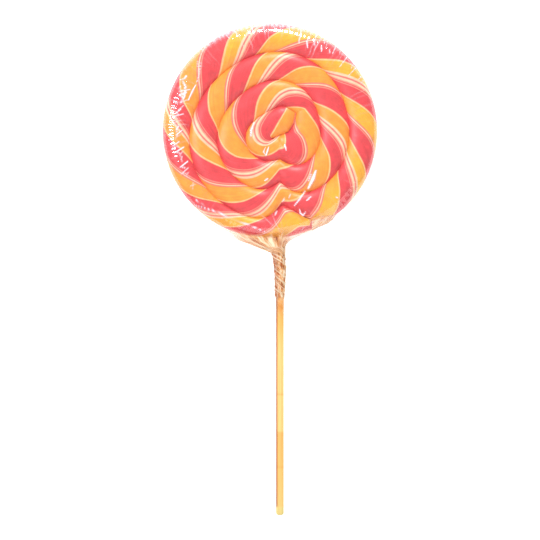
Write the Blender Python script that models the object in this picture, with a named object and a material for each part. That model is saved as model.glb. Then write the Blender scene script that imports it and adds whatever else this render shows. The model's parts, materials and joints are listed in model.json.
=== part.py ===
"""A wrapped swirl lollipop that lies on its back: a coiled sugar disc, its stick and the gathered film neck.

Units are metres with +Z up. The origin is the centre of the disc, on the surface that it lies on.
The stick runs along -Y.
"""

import math

import bmesh
import bpy
from mathutils import Vector

MM = 0.001

# The disc is one flattened rope of pulled sugar, wound anticlockwise from the middle.
DISC_RADIUS = 60.0 * MM
DISC_THICKNESS = 13.0 * MM
RIM_HEIGHT = 6.0 * MM
GROOVE_HEIGHT = 10.0 * MM
BACK_GROOVE_DEPTH = 1.2 * MM
BACK_GROOVE_REACH = 2.0 * MM
BACK_EDGE_RADIUS = 5.0 * MM
ROPE_WIDTH = 15.6 * MM
CROWN_FULLNESS = 0.7

# The groove between the turns is a spiral about its own centre, which sits a little off the disc's.
SWIRL_CENTRE = Vector((4.3 * MM, -0.9 * MM, 0.0))
FIRST_RADIUS = 8.7 * MM
PITCH = 15.9 * MM
PITCH_DRIFT = 0.29 * MM
THREE_LOBES = 1.13 * MM
THREE_LOBES_PHASE = 53.5
TWO_LOBES = 0.3 * MM
TWO_LOBES_PHASE = 25.0
STATION_STEP = 6.0

# The rope starts at a cut end, folds tightly round one point and ends in a blunt tail at the rim.
FOLD_ANGLE = -129.0
FREE_SPIRAL_ANGLE = 111.0
START_OUTLINE = (
    (FOLD_ANGLE, 1.6 * MM, -4.5 * MM),
    (-3.0, 10.5 * MM, -1.0 * MM),
    (21.0, 13.6 * MM, 3.5 * MM),
    (39.0, 14.9 * MM, 9.5 * MM),
    (75.0, 7.6 * MM, 13.7 * MM),
    (87.0, 5.0 * MM, 13.4 * MM),
)
START_MIDDLE = Vector((4.0 * MM, 4.0 * MM, 0.0))
LAST_BAY_ANGLE = 993.0
RIM_ANGLE = 1011.0
RUN_OUT = 15.0
TAIL_NOTCH = 4.2 * MM
TAIL_NOTCH_SPREAD = 9.0
TAIL_LEAD = 4.5
TAIL_LENGTH = 40.0

# The stick was pushed in from the rim and drew the turns towards the middle with it.
STICK_DIAMETER = 4.3 * MM
STICK_X = 5.55 * MM
STICK_TOP_Y = -14.0 * MM
STICK_END_Y = -215.0 * MM
STICK_END_ROUND = 1.3 * MM
STICK_END_STEPS = 4
STICK_SIDES = 24
DENT_SHARE = 0.21
DENT_WIDTH = 7.2 * MM
DENT_SHAPE = 1.3
DENT_FROM_Y = -9.0 * MM
DENT_FULL_Y = -18.0 * MM
DENT_LEAN = 0.15
DENT_LEAN_FROM_Y = -39.0 * MM

# Neighbours keep a gap. The film's is wider at the rim, and its edge over the front is rounder.
GAP = 0.3 * MM
RIM_GAP = 0.45 * MM
ROOM_TOP_REACH = 6.0 * MM
ROOM_EDGE_STEPS = 12
ROOM_SIDES = 120
CUT_BEYOND = 10.0 * MM

# The film leaves the rim as a flat fan and is twisted tight round the stick.
# Each ring gives its distance along -Y, its reach to -X and +X of the stick, and its half thickness.
FILM_RINGS = (
    (50.0 * MM, 29.5 * MM, 11.0 * MM, 5.2 * MM),
    (55.0 * MM, 29.5 * MM, 10.6 * MM, 5.2 * MM),
    (58.3 * MM, 27.8 * MM, 9.8 * MM, 5.1 * MM),
    (60.8 * MM, 23.0 * MM, 7.4 * MM, 4.8 * MM),
    (63.2 * MM, 18.0 * MM, 4.4 * MM, 4.4 * MM),
    (65.6 * MM, 12.2 * MM, 3.4 * MM, 4.0 * MM),
    (67.4 * MM, 7.0 * MM, 3.3 * MM, 3.7 * MM),
    (68.8 * MM, 4.3 * MM, 3.3 * MM, 3.5 * MM),
    (72.0 * MM, 3.7 * MM, 3.4 * MM, 3.4 * MM),
    (77.4 * MM, 3.4 * MM, 3.5 * MM, 3.4 * MM),
    (82.0 * MM, 3.3 * MM, 3.3 * MM, 3.3 * MM),
    (87.0 * MM, 3.2 * MM, 3.2 * MM, 3.2 * MM),
    (91.5 * MM, 3.1 * MM, 3.1 * MM, 3.1 * MM),
    (94.0 * MM, 2.95 * MM, 2.95 * MM, 2.95 * MM),
    (100.0 * MM, 2.9 * MM, 2.9 * MM, 2.9 * MM),
    (107.0 * MM, 2.85 * MM, 2.85 * MM, 2.85 * MM),
)
FILM_SIDES = 30
FILM_PLEATS = 5
FILM_PLEAT_DEPTH = 0.09
FILM_TWIST_PER_MM = 9.0
FILM_TWIST_FROM = 66.0 * MM
FILM_CALM_FROM = 88.0 * MM
FILM_CALM_TO = 94.0 * MM

# The steps across the rope's front and back, and from the edge of its first piece to the middle.
TOP_ACROSS = 8
BACK_SHARES = (0.0, 0.13, 0.45, 0.7, 0.86, 0.955, 1.0)
PATCH_SHARES = (1.0, 0.9, 0.72, 0.45, 0.0)
WELD = 0.001 * MM
SHARP_ANGLE = 40.0


def smooth(value, start, end):
    share = min(max((value - start) / (end - start), 0.0), 1.0)
    return share * share * (3.0 - 2.0 * share)


def heading(angle):
    turn = math.radians(angle)
    return Vector((math.cos(turn), math.sin(turn), 0.0))


def spiral_point(angle):
    """A point of the free spiral, before the stick presses on it."""
    turns = angle / 360.0
    radius = FIRST_RADIUS + PITCH * turns - PITCH_DRIFT * (turns - 1.5) ** 2
    radius -= THREE_LOBES * math.cos(math.radians(3.0 * angle - THREE_LOBES_PHASE))
    radius += TWO_LOBES * math.cos(math.radians(2.0 * angle - TWO_LOBES_PHASE))
    return SWIRL_CENTRE + radius * heading(angle)


def dented(point):
    """The turns are drawn towards the middle along the stick, each in a pointed bay."""
    depth = DENT_SHARE * -point.y * smooth(-point.y, -DENT_FROM_Y, -DENT_FULL_Y)
    lean = DENT_LEAN * max(DENT_LEAN_FROM_Y - point.y, 0.0)
    off_axis = abs(point.x - STICK_X - lean) / DENT_WIDTH
    return point + Vector((0.0, depth * math.exp(-(off_axis**DENT_SHAPE)), 0.0))


def rim_point(angle):
    """Where the line from the swirl's centre meets the rim, which has a notch just past the tail."""
    ahead = heading(angle)
    along = SWIRL_CENTRE.dot(ahead)
    reach = -along + math.sqrt(along**2 + DISC_RADIUS**2 - SWIRL_CENTRE.length_squared)
    past_tail = (angle - RIM_ANGLE) % 360.0
    reach -= TAIL_NOTCH * math.exp(-((past_tail / TAIL_NOTCH_SPREAD) ** 2))
    return SWIRL_CENTRE + reach * ahead


def start_point(angle):
    """The edge of the rope's cut end, which leads into the free spiral."""
    last = spiral_point(FREE_SPIRAL_ANGLE)
    corners = [*START_OUTLINE, (FREE_SPIRAL_ANGLE, last.x, last.y)]
    for (from_angle, from_x, from_y), (to_angle, to_x, to_y) in zip(corners, corners[1:]):
        if angle <= to_angle:
            share = (angle - from_angle) / (to_angle - from_angle)
            start = Vector((from_x, from_y, 0.0))
            return start.lerp(Vector((to_x, to_y, 0.0)), share)
    return last


def groove_point(angle):
    """The groove from the fold to the rim, by the angle that it has wound through."""
    if angle <= FOLD_ANGLE:
        return start_point(FOLD_ANGLE)
    if angle < FREE_SPIRAL_ANGLE:
        return start_point(angle)
    if angle < LAST_BAY_ANGLE:
        return dented(spiral_point(angle))
    share = (angle - LAST_BAY_ANGLE) / (RIM_ANGLE - LAST_BAY_ANGLE)
    return dented(spiral_point(LAST_BAY_ANGLE)).lerp(rim_point(RIM_ANGLE), min(share, 1.0))


def outer_edge(angle):
    """The outer edge of the rope: the next groove, and on the last turn the rim up to the blunt tail."""
    if angle < RIM_ANGLE:
        return groove_point(angle)
    tail_end = RIM_ANGLE + 360.0
    if angle > tail_end - 0.5 * STATION_STEP:
        return rim_point(RIM_ANGLE)
    return rim_point(angle + TAIL_LEAD * smooth(angle, tail_end - TAIL_LENGTH, tail_end - STATION_STEP))


def edge_height(angle, calm_height):
    """A groove keeps its height until it runs out to the middle of the rim."""
    return calm_height + (RIM_HEIGHT - calm_height) * smooth(angle, RIM_ANGLE - RUN_OUT, RIM_ANGLE)


def crown(share):
    """The round of the rope from one edge, where share is 0, to its middle at 0.5."""
    share = min(max(share, 0.0), 0.5)
    return (2.0 * math.sqrt(share * (1.0 - share))) ** CROWN_FULLNESS


def top_height(angle, share, width):
    at_rim = share > 0.5 and angle >= RIM_ANGLE
    side = angle if share > 0.5 else angle - 360.0
    low = edge_height(side, GROOVE_HEIGHT)
    fullness = min(width / ROPE_WIDTH, 1.0) ** 0.5
    rise = crown(min(share, 1.0 - share))
    if at_rim:
        rise = rise ** (1.0 / CROWN_FULLNESS)
    return low + (DISC_THICKNESS - low) * rise * fullness


def rounded_in(distance, reach, height):
    """The height of a quarter round at a distance from the edge that it rises to."""
    left = 1.0 - min(distance / reach, 1.0)
    return height * (1.0 - math.sqrt(1.0 - left**2))


def back_height(angle, share, width):
    inner = edge_height(angle - 360.0, BACK_GROOVE_DEPTH)
    outer = edge_height(angle, BACK_GROOVE_DEPTH)
    reach = BACK_EDGE_RADIUS if angle >= RIM_ANGLE else BACK_GROOVE_REACH
    reach = min(reach, 0.5 * width) if width > WELD else WELD
    inner_reach = min(BACK_GROOVE_REACH, 0.5 * width) if width > WELD else WELD
    from_inner = rounded_in(share * width, inner_reach, inner)
    from_outer = rounded_in((1.0 - share) * width, reach, outer)
    return max(from_inner, from_outer)


def rope_point(angle, share, height_rule):
    """A point of the rope's face: how far it has wound and the share of its width from the inner edge."""
    inner = groove_point(angle - 360.0)
    outer = outer_edge(angle)
    point = inner.lerp(outer, share)
    point.z = height_rule(angle, share, (outer - inner).length)
    return point


def groove_distance(point, corners):
    """How far a point is from the nearest stretch of the groove."""
    best = DISC_RADIUS
    for start, end in zip(corners, corners[1:]):
        along = end - start
        share = min(max((point - start).dot(along) / along.length_squared, 0.0), 1.0)
        best = min(best, (point - start - share * along).length)
    return best


def add_strip(bm, shares, height_rule):
    """The rope's face as a grid that is wound up, so that each turn's edge lies on the next one's."""
    first = FOLD_ANGLE + 360.0
    count = round((RIM_ANGLE - FOLD_ANGLE) / STATION_STEP)
    rows = []
    for station in range(count + 1):
        angle = first + station * STATION_STEP
        rows.append([bm.verts.new(rope_point(angle, share, height_rule)) for share in shares])
    for row, after in zip(rows, rows[1:]):
        for across in range(len(shares) - 1):
            bm.faces.new((row[across], row[across + 1], after[across + 1], after[across]))


def add_patch(bm, shares, height_rule):
    """The face of the rope's first piece, as rings that shrink to its middle."""
    first = FOLD_ANGLE + 360.0
    count = round(360.0 / STATION_STEP)
    edge = [groove_point(FOLD_ANGLE + station * STATION_STEP) for station in range(count + 1)]
    closing = [rope_point(first, share, height_rule) for share in reversed(shares[1:-1])]
    width = (outer_edge(first) - groove_point(FOLD_ANGLE)).length
    low = height_rule(first, 0.0, width)
    outline = [Vector((point.x, point.y, low)) for point in edge] + closing
    rings = []
    for ring_share in PATCH_SHARES:
        ring = []
        for point in outline:
            place = START_MIDDLE.lerp(Vector((point.x, point.y, 0.0)), ring_share)
            away = min(groove_distance(place, edge) / width, 0.5)
            place.z = point.z if ring_share == 1.0 else height_rule(first, away, width)
            ring.append(bm.verts.new(place))
        rings.append(ring)
    for ring, inner in zip(rings, rings[1:]):
        for here in range(len(outline)):
            after = (here + 1) % len(outline)
            bm.faces.new((ring[here], ring[after], inner[after], inner[here]))


def weld(bm):
    bmesh.ops.remove_doubles(bm, verts=bm.verts, dist=WELD)
    bmesh.ops.dissolve_degenerate(bm, dist=WELD, edges=bm.edges)
    bmesh.ops.recalc_face_normals(bm, faces=bm.faces)


def new_object(name, bm, material):
    mesh = bpy.data.meshes.new(name)
    bm.to_mesh(mesh)
    bm.free()
    mesh.materials.append(material)
    mesh.shade_smooth()
    mesh.set_sharp_from_angle(angle=math.radians(SHARP_ANGLE))
    item = bpy.data.objects.new(name, mesh)
    bpy.context.scene.collection.objects.link(item)
    return item


def new_material(name, colour, roughness, alpha=1.0):
    material = bpy.data.materials.new(name)
    material.use_nodes = True
    shader = material.node_tree.nodes["Principled BSDF"]
    shader.inputs["Base Color"].default_value = (*colour, 1.0)
    shader.inputs["Roughness"].default_value = roughness
    shader.inputs["Metallic"].default_value = 0.0
    shader.inputs["Alpha"].default_value = alpha
    return material


def add_rod(bm, radius, top_y, end_y):
    """A round bar along the stick's axis."""
    made = bmesh.ops.create_cone(
        bm, cap_ends=True, segments=STICK_SIDES, radius1=radius, radius2=radius, depth=top_y - end_y
    )
    middle = Vector((STICK_X, 0.5 * (top_y + end_y), RIM_HEIGHT))
    for vert in made["verts"]:
        vert.co = Vector((vert.co.x, vert.co.z, -vert.co.y)) + middle


def as_cutter(name, bm):
    bmesh.ops.recalc_face_normals(bm, faces=bm.faces)
    mesh = bpy.data.meshes.new(name)
    bm.to_mesh(mesh)
    bm.free()
    cutter = bpy.data.objects.new(name, mesh)
    cutter.hide_render = True
    cutter.display_type = "WIRE"
    bpy.context.scene.collection.objects.link(cutter)
    return cutter


def cut(item, cutter):
    modifier = item.modifiers.new(cutter.name, "BOOLEAN")
    modifier.operation = "DIFFERENCE"
    modifier.solver = "EXACT"
    modifier.object = cutter


def make_bore(name, top_y, end_y):
    """The room for the stick."""
    bm = bmesh.new()
    add_rod(bm, 0.5 * STICK_DIAMETER + GAP, top_y, end_y)
    return as_cutter(name, bm)


def make_candy():
    sugar = new_material("pulled_sugar", (0.93, 0.18, 0.12), 0.3)
    bm = bmesh.new()
    top_shares = [0.5 - 0.5 * math.cos(math.pi * step / TOP_ACROSS) for step in range(TOP_ACROSS + 1)]
    add_strip(bm, top_shares, top_height)
    add_patch(bm, top_shares, top_height)
    add_strip(bm, BACK_SHARES, back_height)
    add_patch(bm, BACK_SHARES, back_height)
    weld(bm)
    candy = new_object("candy", bm, sugar)
    cut(candy, make_bore("stick_bore", STICK_TOP_Y + GAP, -DISC_RADIUS - CUT_BEYOND))


def make_stick():
    wood = new_material("birch_dowel", (0.98, 0.7, 0.3), 0.5)
    bm = bmesh.new()
    add_rod(bm, 0.5 * STICK_DIAMETER, STICK_TOP_Y, STICK_END_Y)
    end_edges = [edge for edge in bm.edges if all(vert.co.y < STICK_END_Y + WELD for vert in edge.verts)]
    bmesh.ops.bevel(
        bm, geom=end_edges, offset=STICK_END_ROUND, segments=STICK_END_STEPS, profile=0.5,
        affect="EDGES", material=-1
    )
    bmesh.ops.recalc_face_normals(bm, faces=bm.faces)
    new_object("stick", bm, wood)


def film_ring(along, left, right, thickness):
    """One ring round the stick, with pleats that turn with the twist."""
    turned = FILM_TWIST_PER_MM * max(along - FILM_TWIST_FROM, 0.0) / MM
    calm = 1.0 - smooth(along, FILM_CALM_FROM, FILM_CALM_TO)
    ring = []
    for side in range(FILM_SIDES):
        angle = 360.0 * side / FILM_SIDES
        out = heading(angle)
        pleat = math.cos(math.radians(FILM_PLEATS * (angle + turned)))
        out *= 1.0 + FILM_PLEAT_DEPTH * calm * pleat
        reach = right if out.x > 0.0 else left
        ring.append(Vector((STICK_X + reach * out.x, -along, RIM_HEIGHT + thickness * out.y)))
    return ring


def make_rim_room():
    """A turned disc a little larger than the candy, cut from the film so that the two stay apart."""
    bm = bmesh.new()
    profile = [Vector((0.0, 0.0, -CUT_BEYOND)), Vector((DISC_RADIUS - BACK_EDGE_RADIUS, 0.0, -CUT_BEYOND))]
    for step in range(ROOM_EDGE_STEPS + 1):
        angle = math.pi * (step / ROOM_EDGE_STEPS - 0.5)
        below = angle < 0.0
        height = RIM_HEIGHT if below else DISC_THICKNESS - RIM_HEIGHT
        reach = BACK_EDGE_RADIUS if below else ROOM_TOP_REACH
        radius = DISC_RADIUS - reach + (reach + RIM_GAP) * math.cos(angle)
        profile.append(Vector((radius, 0.0, RIM_HEIGHT + (height + GAP) * math.sin(angle))))
    profile.append(Vector((0.0, 0.0, DISC_THICKNESS + GAP)))
    verts = [bm.verts.new(point) for point in profile]
    edges = [bm.edges.new(pair) for pair in zip(verts, verts[1:])]
    bmesh.ops.spin(
        bm, geom=edges, cent=(0.0, 0.0, 0.0), axis=(0.0, 0.0, 1.0), angle=math.tau,
        steps=ROOM_SIDES, use_merge=True
    )
    bmesh.ops.remove_doubles(bm, verts=bm.verts, dist=WELD)
    return as_cutter("rim_room", bm)


def make_film_neck():
    film = new_material("clear_film", (0.9, 0.62, 0.42), 0.15, alpha=0.6)
    bm = bmesh.new()
    rings = [[bm.verts.new(point) for point in film_ring(*ring)] for ring in FILM_RINGS]
    for ring, after in zip(rings, rings[1:]):
        for side in range(FILM_SIDES):
            beside = (side + 1) % FILM_SIDES
            bm.faces.new((ring[side], after[side], after[beside], ring[beside]))
    bm.faces.new(rings[0])
    bm.faces.new(rings[-1])
    bmesh.ops.recalc_face_normals(bm, faces=bm.faces)
    neck = new_object("film_neck", bm, film)
    cut(neck, make_rim_room())
    cut(neck, make_bore("neck_bore", -FILM_RINGS[0][0] + CUT_BEYOND, -FILM_RINGS[-1][0] - CUT_BEYOND))


def main():
    for item in list(bpy.data.objects):
        bpy.data.objects.remove(item, do_unlink=True)
    make_candy()
    make_stick()
    make_film_neck()


main()
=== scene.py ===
import json
import math

import bmesh
import bpy
from bpy.props import FloatProperty, FloatVectorProperty, IntProperty, PointerProperty
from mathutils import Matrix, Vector, noise

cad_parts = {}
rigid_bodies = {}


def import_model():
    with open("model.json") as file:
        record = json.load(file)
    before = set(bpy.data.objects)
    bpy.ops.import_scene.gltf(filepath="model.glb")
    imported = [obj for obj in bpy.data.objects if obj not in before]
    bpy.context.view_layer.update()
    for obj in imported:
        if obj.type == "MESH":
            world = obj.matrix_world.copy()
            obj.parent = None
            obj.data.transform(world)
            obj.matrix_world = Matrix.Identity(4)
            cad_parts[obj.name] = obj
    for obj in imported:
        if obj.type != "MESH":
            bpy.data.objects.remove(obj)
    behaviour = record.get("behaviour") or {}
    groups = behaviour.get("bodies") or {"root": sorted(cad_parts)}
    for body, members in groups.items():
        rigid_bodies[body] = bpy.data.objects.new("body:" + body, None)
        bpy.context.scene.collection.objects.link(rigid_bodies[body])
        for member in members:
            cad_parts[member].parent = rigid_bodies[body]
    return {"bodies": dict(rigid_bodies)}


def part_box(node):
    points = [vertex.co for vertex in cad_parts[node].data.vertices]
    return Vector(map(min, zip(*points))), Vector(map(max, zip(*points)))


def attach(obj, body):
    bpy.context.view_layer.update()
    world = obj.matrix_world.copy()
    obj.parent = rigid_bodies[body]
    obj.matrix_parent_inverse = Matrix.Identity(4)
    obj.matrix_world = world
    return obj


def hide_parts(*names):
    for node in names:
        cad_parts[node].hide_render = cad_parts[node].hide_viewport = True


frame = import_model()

bl_info = {
    "name": "Swirl lollipop",
    "version": (1, 0, 0),
    "blender": (4, 5, 0),
    "location": "3D View > Sidebar > Lollipop",
    "description": "A coiled rope of striped sugar on a stick, wrapped in clear film",
    "category": "Add Mesh",
}

MM = 0.001
BODY = next(iter(frame["bodies"]))
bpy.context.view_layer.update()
CANDY_LOW, CANDY_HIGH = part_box("candy")
STICK_LOW, STICK_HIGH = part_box("stick")

# The disc is centred on the origin, and the stick runs along -Y beside it.
DISC_RADIUS = 0.5 * (CANDY_HIGH.x - CANDY_LOW.x)
STICK_RADIUS = 0.5 * (STICK_HIGH.z - STICK_LOW.z)
AXIS_HEIGHT = 0.5 * (STICK_HIGH.z + STICK_LOW.z)
STICK_X = 5.55 * MM
STICK_TOP_Y = STICK_HIGH.y
STICK_END_Y = STICK_LOW.y

# The groove between the turns is a lobed spiral about a centre of its own, wound anticlockwise.
SWIRL_CENTRE = Vector((4.3 * MM, -0.9 * MM, 0.0))
FIRST_RADIUS = 8.7 * MM
PITCH = 15.9 * MM
PITCH_DRIFT = 0.29 * MM
DRIFT_TURNS = 1.5
THREE_LOBES = 1.13 * MM
THREE_LOBES_PHASE = 53.5
TWO_LOBES = 0.3 * MM
TWO_LOBES_PHASE = 25.0
ROPE_WIDTH = 15.6 * MM

# The cut end of the rope, as angle and place of its corners, folded back at the first of them.
FOLD_ANGLE = -129.0
CREASE_END_ANGLE = 39.0
CUT_ANGLE = 75.0
FOLDED_ANGLE = 150.0
FREE_SPIRAL_ANGLE = 111.0
START_OUTLINE = (
    (FOLD_ANGLE, 1.6 * MM, -4.5 * MM),
    (-3.0, 10.5 * MM, -1.0 * MM),
    (21.0, 13.6 * MM, 3.5 * MM),
    (CREASE_END_ANGLE, 14.9 * MM, 9.5 * MM),
    (CUT_ANGLE, 7.6 * MM, 13.7 * MM),
    (87.0, 5.0 * MM, 13.4 * MM),
)

# The tail is blunt and ends at a notch in the rim.
LAST_BAY_ANGLE = 993.0
RIM_ANGLE = 1011.0
TAIL_ANGLE = RIM_ANGLE + 360.0
TAIL_NOTCH = 4.2 * MM
TAIL_NOTCH_SPREAD = 9.0
TAIL_LEAD = 4.5
TAIL_LENGTH = 40.0
TAIL_FACE = 3.0

# Over the last degrees of the tail the stripes spread by a share of the way round the rope.
TIP_LENGTH = 5.5
TIP_SPREAD = 0.32

# The section of the rope: where the crease beside the cut end closes, how many degrees before the rim
# the outermost turn starts to be rounded, from where to where across it that sets in, how round its sole
# gets, and from which width on the rope presses on its neighbours.
CREASE_CLOSES = (FOLD_ANGLE + 350.0, FOLD_ANGLE + 380.0)
RIM_LEAD = 12.0
ROUND_SIDE = (0.4, 0.7)
RIM_SOLE = 0.8
LEAST_WIDTH = 0.1 * MM

# The turns are drawn inwards along the stick.
DENT_SHARE = 0.21
DENT_WIDTH = 7.2 * MM
DENT_SHAPE = 1.3
DENT_FROM_Y = -9.0 * MM
DENT_FULL_Y = -18.0 * MM
DENT_LEAN = 0.15
DENT_LEAN_FROM_Y = -39.0 * MM

# The angles at which the rope has twisted half a turn more. It was twisted by hand, and so unevenly,
# and its tail isn't twisted.
HALF_TWIST_ANGLES = (
    104.0, 287.0, 397.0, 486.0, 571.0, 633.0, 695.0, 744.0, 794.0, 835.0, 884.0, 923.0, 965.0,
    1003.0, 1037.0, 1065.0, 1099.0, 1135.0, 1175.0, 1205.0, 1242.0, 1269.0, 1302.0, 1332.0, 1364.0,
)
UNTWISTED_FROM = 1359.0

# Edges sharper than this are shaded sharp, and points nearer than this are one.
SHARP_ANGLE = math.radians(50.0)
MERGE = 0.0005 * MM


def smooth(value, start, end):
    share = min(max((value - start) / (end - start), 0.0), 1.0)
    return share * share * (3.0 - 2.0 * share)


def heading(angle):
    turn = math.radians(angle)
    return Vector((math.cos(turn), math.sin(turn), 0.0))


def linear(hex_colour):
    """An sRGB hex colour as linear red, green, blue and alpha."""
    parts = [int(hex_colour[place:place + 2], 16) / 255.0 for place in (1, 3, 5)]
    return (*[part / 12.92 if part <= 0.04045 else ((part + 0.055) / 1.055) ** 2.4 for part in parts], 1.0)


def spiral_point(angle):
    """A point of the free spiral, before the stick presses on it."""
    turns = angle / 360.0
    radius = FIRST_RADIUS + PITCH * turns - PITCH_DRIFT * (turns - DRIFT_TURNS) ** 2
    radius -= THREE_LOBES * math.cos(math.radians(3.0 * angle - THREE_LOBES_PHASE))
    radius += TWO_LOBES * math.cos(math.radians(2.0 * angle - TWO_LOBES_PHASE))
    return SWIRL_CENTRE + radius * heading(angle)


def dented(point):
    """The turns are drawn towards the middle along the stick, each in a pointed bay."""
    depth = DENT_SHARE * -point.y * smooth(-point.y, -DENT_FROM_Y, -DENT_FULL_Y)
    lean = DENT_LEAN * max(DENT_LEAN_FROM_Y - point.y, 0.0)
    off_axis = abs(point.x - STICK_X - lean) / DENT_WIDTH
    return point + Vector((0.0, depth * math.exp(-(off_axis**DENT_SHAPE)), 0.0))


def rim_point(angle):
    """Where the line from the swirl's centre meets the rim, which has a notch just past the tail."""
    ahead = heading(angle)
    along = SWIRL_CENTRE.dot(ahead)
    reach = -along + math.sqrt(along**2 + DISC_RADIUS**2 - SWIRL_CENTRE.length_squared)
    past_tail = (angle - RIM_ANGLE) % 360.0
    reach -= TAIL_NOTCH * math.exp(-((past_tail / TAIL_NOTCH_SPREAD) ** 2))
    return SWIRL_CENTRE + reach * ahead


def start_point(angle):
    """The edge of the rope's cut end, which leads into the free spiral."""
    last = spiral_point(FREE_SPIRAL_ANGLE)
    corners = [*START_OUTLINE, (FREE_SPIRAL_ANGLE, last.x, last.y)]
    for (from_angle, from_x, from_y), (to_angle, to_x, to_y) in zip(corners, corners[1:]):
        if angle <= to_angle:
            share = (angle - from_angle) / (to_angle - from_angle)
            return Vector((from_x, from_y, 0.0)).lerp(Vector((to_x, to_y, 0.0)), max(share, 0.0))
    return last


def groove_point(angle):
    if angle < FREE_SPIRAL_ANGLE:
        return start_point(angle)
    if angle < LAST_BAY_ANGLE:
        return dented(spiral_point(angle))
    share = (angle - LAST_BAY_ANGLE) / (RIM_ANGLE - LAST_BAY_ANGLE)
    return dented(spiral_point(LAST_BAY_ANGLE)).lerp(rim_point(RIM_ANGLE), min(share, 1.0))


def outer_edge(angle):
    if angle < RIM_ANGLE:
        return groove_point(angle)
    lead = TAIL_LEAD * smooth(angle, TAIL_ANGLE - TAIL_LENGTH, TAIL_ANGLE - TAIL_FACE)
    face = smooth(angle, TAIL_ANGLE - TAIL_FACE, TAIL_ANGLE)
    return rim_point(angle + lead).lerp(rim_point(RIM_ANGLE), face)


def inner_edge(angle):
    """The crease beside the cut end, then the fold, then the groove one turn before."""
    if angle < FOLD_ANGLE + 360.0:
        back = (angle - CUT_ANGLE) / (FOLDED_ANGLE - CUT_ANGLE)
        return groove_point(CREASE_END_ANGLE + (FOLD_ANGLE - CREASE_END_ANGLE) * min(back, 1.0))
    return groove_point(angle - 360.0)


def twists_at(angle):
    """How many times the striped rope has twisted about itself by an angle of the winding."""
    marks = HALF_TWIST_ANGLES
    step = max(index for index in range(len(marks) - 1) if index == 0 or marks[index] <= angle)
    return 0.5 * (step + (angle - marks[step]) / (marks[step + 1] - marks[step]))


def colour_property(name, description, hex_colour):
    return FloatVectorProperty(
        name=name, description=description, subtype="COLOR", size=4, default=linear(hex_colour)
    )


class LollipopCandy(bpy.types.PropertyGroup):
    height: FloatProperty(
        name="Height", description="Thickness of the disc", default=CANDY_HIGH.z - 0.45 * MM, unit="LENGTH"
    )
    lift: FloatProperty(
        name="Lift", description="Room for the film under the disc", default=0.12 * MM, unit="LENGTH"
    )
    crown: FloatProperty(name="Crown", description="Lower is a flatter rope", default=0.58, min=0.3, max=1.0)
    sole: FloatProperty(name="Sole", description="Lower is a flatter back", default=0.3, min=0.1, max=1.0)
    overlap: FloatProperty(
        name="Overlap", description="How far neighbouring turns press together", default=0.5 * MM,
        unit="LENGTH",
    )
    orange: colour_property("Orange", "Wide stripes", "#FCA238")
    # Painted light: the wide stripes painted lighter and yellower where light falls on the rim.
    lit_rim_orange: colour_property("Rim orange", "Wide stripes where the rim is yellower", "#FFB632")
    red: colour_property("Red", "Red stripes", "#E8464C")
    honey: colour_property("Honey", "Thin edges of the orange stripes", "#FFC98A")
    cream: colour_property("Cream", "Thin pale stripes", "#FFD3AC")
    salmon: colour_property("Salmon", "Thin stripes between cream and red", "#FA9680")
    pink: colour_property("Pink", "Thin pink stripes", "#F4746C")


class LollipopFilm(bpy.types.PropertyGroup):
    pleats: IntProperty(name="Pleats", description="Small pleats round the rim", default=130, min=20)
    pleat_depth: FloatProperty(
        name="Pleat depth", description="Depth of the pleats at the rim", default=0.5 * MM, unit="LENGTH"
    )
    crease_height: FloatProperty(
        name="Crease height", description="Height of the sharp creases on the front", default=0.35 * MM,
        unit="LENGTH",
    )
    # Painted highlight: the white that the film's creases and pleats are painted with.
    painted_glint_colour: colour_property("Crease shade", "Film cracked white along its creases", "#FFF2FA")
    # Painted shade: the gathered film darker deep in its folds.
    fold_shade: colour_property("Fold shade", "Gathered film deep in its folds", "#B25C2A")
    body_shade: colour_property("Body shade", "Gathered film in several layers", "#F0B270")
    # Painted highlight: the gathered film lighter on its crests.
    crest_highlight: colour_property("Crest shade", "Gathered film on its crests", "#FFE9C4")


class LollipopStick(bpy.types.PropertyGroup):
    end_round: FloatProperty(
        name="End round", description="Rounding of the lower end", default=1.4 * MM, unit="LENGTH"
    )
    wood: colour_property("Wood", "Pale wood", "#FFCF80")
    # Painted shade: the dowel's left side coloured darker, where less light falls.
    wood_painted_shade: colour_property("Dark wood", "The darker side of the dowel", "#9C5224")
    tip: colour_property("Tip", "The duller lower end", "#E2CC80")


class LollipopStage(bpy.types.PropertyGroup):
    view_width: FloatProperty(
        name="View width", description="What the camera sees across the disc", default=302.8 * MM,
        unit="LENGTH",
    )
    centre_y: FloatProperty(
        name="Centre", description="Place of the view's centre along the stick", default=-77.9 * MM,
        unit="LENGTH",
    )
    distance: FloatProperty(name="Distance", description="Camera height", default=2.4, unit="LENGTH")


def add(tree, kind, inputs=None, **settings):
    """Adds one node, with its settings, and its inputs as values or as (node, output) links."""
    made = tree.nodes.new(kind)
    for name, value in settings.items():
        setattr(made, name, value)
    for name, value in (inputs or {}).items():
        if isinstance(value, tuple) and isinstance(value[0], bpy.types.Node):
            tree.links.new(value[0].outputs[value[1]], made.inputs[name])
        else:
            made.inputs[name].default_value = value
    return made


def fresh_material(name):
    material = bpy.data.materials.new(name)
    material.use_nodes = True
    material.node_tree.nodes.clear()
    return material, material.node_tree


def finish_piece(name, bm, material, *nodes):
    """Turns a bmesh into a smooth piece that rides on the part and stands for its nodes."""
    mesh = bpy.data.meshes.new(name)
    bm.to_mesh(mesh)
    bm.free()
    mesh.materials.append(material)
    mesh.shade_smooth()
    piece = bpy.data.objects.new(name, mesh)
    bpy.context.scene.collection.objects.link(piece)
    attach(piece, BODY)
    if nodes:
        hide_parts(*nodes)
    return piece


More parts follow.
